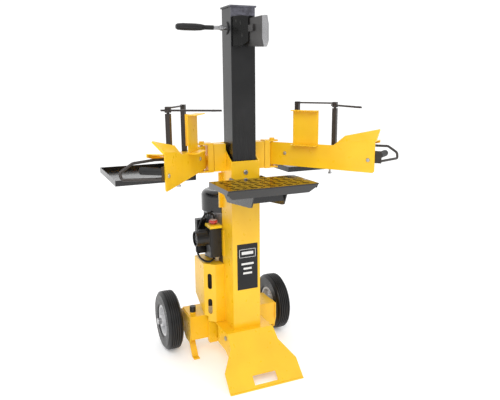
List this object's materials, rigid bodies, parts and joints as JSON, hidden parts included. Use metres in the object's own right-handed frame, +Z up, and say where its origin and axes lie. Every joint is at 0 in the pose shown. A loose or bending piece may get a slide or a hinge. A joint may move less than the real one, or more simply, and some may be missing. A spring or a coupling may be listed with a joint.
{
  "type": "log splitter",
  "caption": "Upright hydraulic log splitter: sliding wedge column, two press-down grip arms, height-adjustable table, electric motor and pump, wheeled base.",
  "frame": {"origin": "centre of the footprint's bounding box, on the floor", "axes": "+Z up, wedge side faces -Y, +X to the right seen from the front"},
  "size_m": [1.0276, 0.6932, 1.384],
  "materials": {
    "yellow_paint": "gloss",
    "black_paint": "gloss",
    "dark_steel": "satin",
    "bright_steel": "polished",
    "zinc_steel": "satin",
    "motor_alloy": "satin",
    "cast_pump": "matte",
    "black_plastic": "matte",
    "rubber_black": "matte",
    "tyre_black": "matte",
    "rim_grey": "satin",
    "guide_plastic": "matte",
    "flap_yellow": "gloss",
    "stop_red": "gloss",
    "start_green": "gloss",
    "decal_black": "satin"
  },
  "bodies": {
    "base": {"tank_beam": "yellow_paint", "base_frame": "yellow_paint", "foot_plate": "yellow_paint", "column": "yellow_paint", "guide_pads": "guide_plastic", "guide_bolts": "zinc_steel", "axle": "zinc_steel", "axle_nuts": "zinc_steel", "cylinder_barrel": "dark_steel", "cylinder_gland": "dark_steel", "motor_body": "motor_alloy", "motor_fan_cover": "black_plastic", "pump_body": "cast_pump", "valve_block": "cast_pump", "hydraulic_pipes": "dark_steel", "motor_bracket": "yellow_paint", "terminal_box": "black_plastic", "motor_guard": "yellow_paint", "switch_box": "black_plastic", "inlet_socket": "black_plastic", "lead_gland": "zinc_steel", "motor_lead": "rubber_black", "decal_panel": "decal_black", "lever_frame": "yellow_paint", "tray_left": "black_paint", "tray_right": "black_paint"},
    "carriage": {"moving_column": "black_paint", "knife": "dark_steel", "wedge_expander": "black_paint", "grip_boss": "zinc_steel", "side_grip": "rubber_black", "cylinder_rod": "bright_steel"},
    "table": {"table_plate": "black_paint", "table_frame": "black_paint"},
    "rotor_body": {"rotor": "zinc_steel"},
    "spool_body": {"valve_spool": "zinc_steel"},
    "flap_body": {"switch_flap": "flap_yellow"},
    "stop_body": {"stop_button": "stop_red"},
    "start_body": {"start_button": "start_green"},
    "oil_cap_body": {"oil_cap": "black_plastic"},
    "wheel_left": {"tyre_left": "tyre_black", "rim_left": "rim_grey"},
    "lever_left": {"yoke_left": "yellow_paint"},
    "arm_body_left": {"arm_left": "yellow_paint", "arm_posts_left": "dark_steel", "arm_claw_left": "yellow_paint", "arm_grip_left": "rubber_black", "arm_guard_left": "dark_steel", "arm_bolts_left": "zinc_steel"},
    "bar_body_left": {"claw_bar_left": "dark_steel"},
    "wheel_right": {"tyre_right": "tyre_black", "rim_right": "rim_grey"},
    "lever_right": {"yoke_right": "yellow_paint"},
    "arm_body_right": {"arm_right": "yellow_paint", "arm_posts_right": "dark_steel", "arm_claw_right": "yellow_paint", "arm_grip_right": "rubber_black", "arm_guard_right": "dark_steel", "arm_bolts_right": "zinc_steel"},
    "bar_body_right": {"claw_bar_right": "dark_steel"}
  },
  "joints": [
    {"name": "column_stroke", "type": "slide", "parent": "base", "child": "carriage", "axis": [0, 0, 1], "range_m": [-0.39, 0]},
    {"name": "table_height", "type": "slide", "parent": "base", "child": "table", "axis": [0, 0, 1], "range_m": [-0.2, 0]},
    {"name": "wheel_left_spin", "type": "hinge", "parent": "base", "child": "wheel_left", "pos_m": [-0.248, 0.22167, 0.125], "axis": [1, 0, 0], "continuous": true},
    {"name": "lever_left_press", "type": "hinge", "parent": "base", "child": "lever_left", "pos_m": [-0.115, 0.02367, 0.84], "axis": [1, 0, 0], "range_deg": [0, 7]},
    {"name": "arm_left_swing", "type": "hinge", "parent": "lever_left", "child": "arm_body_left", "pos_m": [-0.146, 0.02367, 0.84], "axis": [0, 0, -1], "range_deg": [-20, 17]},
    {"name": "bar_left_swivel", "type": "hinge", "parent": "arm_body_left", "child": "bar_body_left", "pos_m": [-0.31913, -0.15751, 1.027], "axis": [0, 0, -1], "range_deg": [-40, 140]},
    {"name": "wheel_right_spin", "type": "hinge", "parent": "base", "child": "wheel_right", "pos_m": [0.248, 0.22167, 0.125], "axis": [1, 0, 0], "continuous": true},
    {"name": "lever_right_press", "type": "hinge", "parent": "base", "child": "lever_right", "pos_m": [0.115, 0.02367, 0.84], "axis": [1, 0, 0], "range_deg": [0, 7]},
    {"name": "arm_right_swing", "type": "hinge", "parent": "lever_right", "child": "arm_body_right", "pos_m": [0.146, 0.02367, 0.84], "axis": [0, 0, 1], "range_deg": [-20, 17]},
    {"name": "bar_right_swivel", "type": "hinge", "parent": "arm_body_right", "child": "bar_body_right", "pos_m": [0.31913, -0.15751, 1.027], "axis": [0, 0, 1], "range_deg": [-92, 90]},
    {"name": "rotor_spin", "type": "hinge", "parent": "base", "child": "rotor_body", "pos_m": [-0.017, 0.17767, 0.5], "axis": [0, 0, 1], "continuous": true},
    {"name": "spool_travel", "type": "slide", "parent": "base", "child": "spool_body", "axis": [0, 0, 1], "range_m": [-0.012, 0]},
    {"name": "flap_open", "type": "hinge", "parent": "base", "child": "flap_body", "pos_m": [-0.1105, 0.08067, 0.549], "axis": [0, -1, 0], "range_deg": [0, 95]},
    {"name": "stop_press", "type": "slide", "parent": "flap_body", "child": "stop_body", "axis": [0, 0, 1], "range_m": [-0.004, 0], "stiffness_N_per_m": 300},
    {"name": "start_press", "type": "slide", "parent": "base", "child": "start_body", "axis": [0, 0, 1], "range_m": [-0.003, 0], "stiffness_N_per_m": 300},
    {"name": "oil_cap_turn", "type": "hinge", "parent": "base", "child": "oil_cap_body", "pos_m": [-0.17, 0.12467, 0.2], "axis": [0, 0, 1], "continuous": true}
  ],
  "couplings": [
    {"joint": "spool_travel", "follows": "lever_left_press", "m_per_rad": -0.0974}
  ]
}
